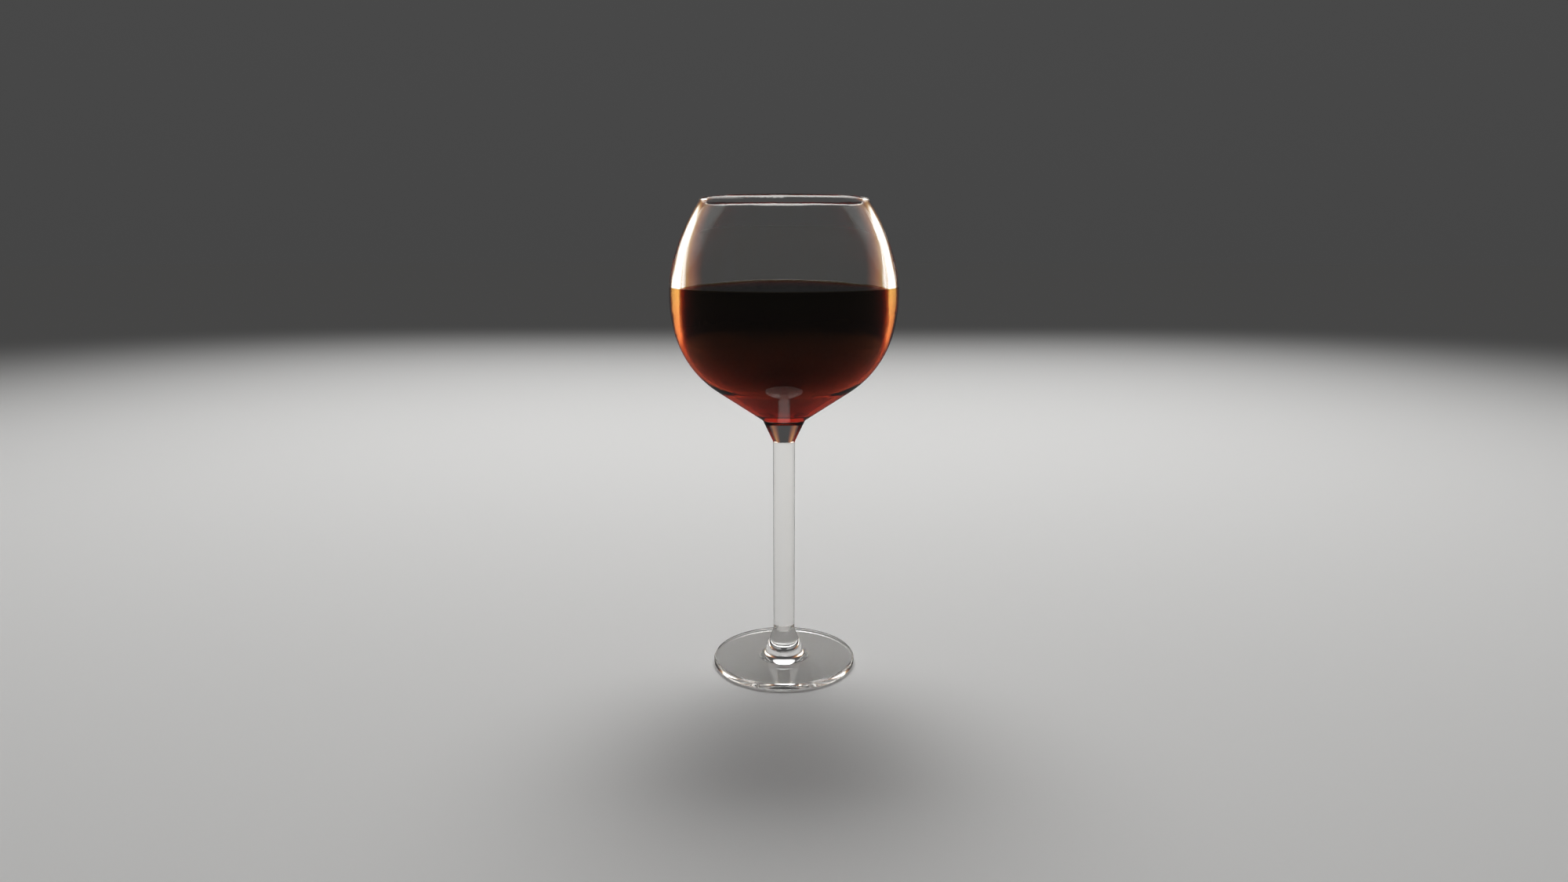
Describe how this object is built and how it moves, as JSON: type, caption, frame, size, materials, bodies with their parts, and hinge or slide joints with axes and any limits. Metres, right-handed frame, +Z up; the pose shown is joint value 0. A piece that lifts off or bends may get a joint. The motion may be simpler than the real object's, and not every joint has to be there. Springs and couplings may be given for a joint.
{
  "type": "glass of red wine",
  "caption": "Balloon-shaped stemmed wine glass on a flat round foot, filled with red wine to just above the widest part of its bowl.",
  "frame": {"origin": "Centre of the foot's flat underside, on the surface that the glass stands on.", "axes": "+Z runs up the stem, which is the axis that everything is turned about. X and Y are free, because the glass is round."},
  "size_m": [0.0969, 0.0968, 0.205],
  "materials": {
    "glass": "clear, fire-polished soda-lime glass, very smooth",
    "wine": "deep red wine, near black in depth and ruby where it is thin, with a still, glossy surface"
  },
  "bodies": {
    "root": {"glass": "glass", "wine": "wine"}
  },
  "joints": []
}
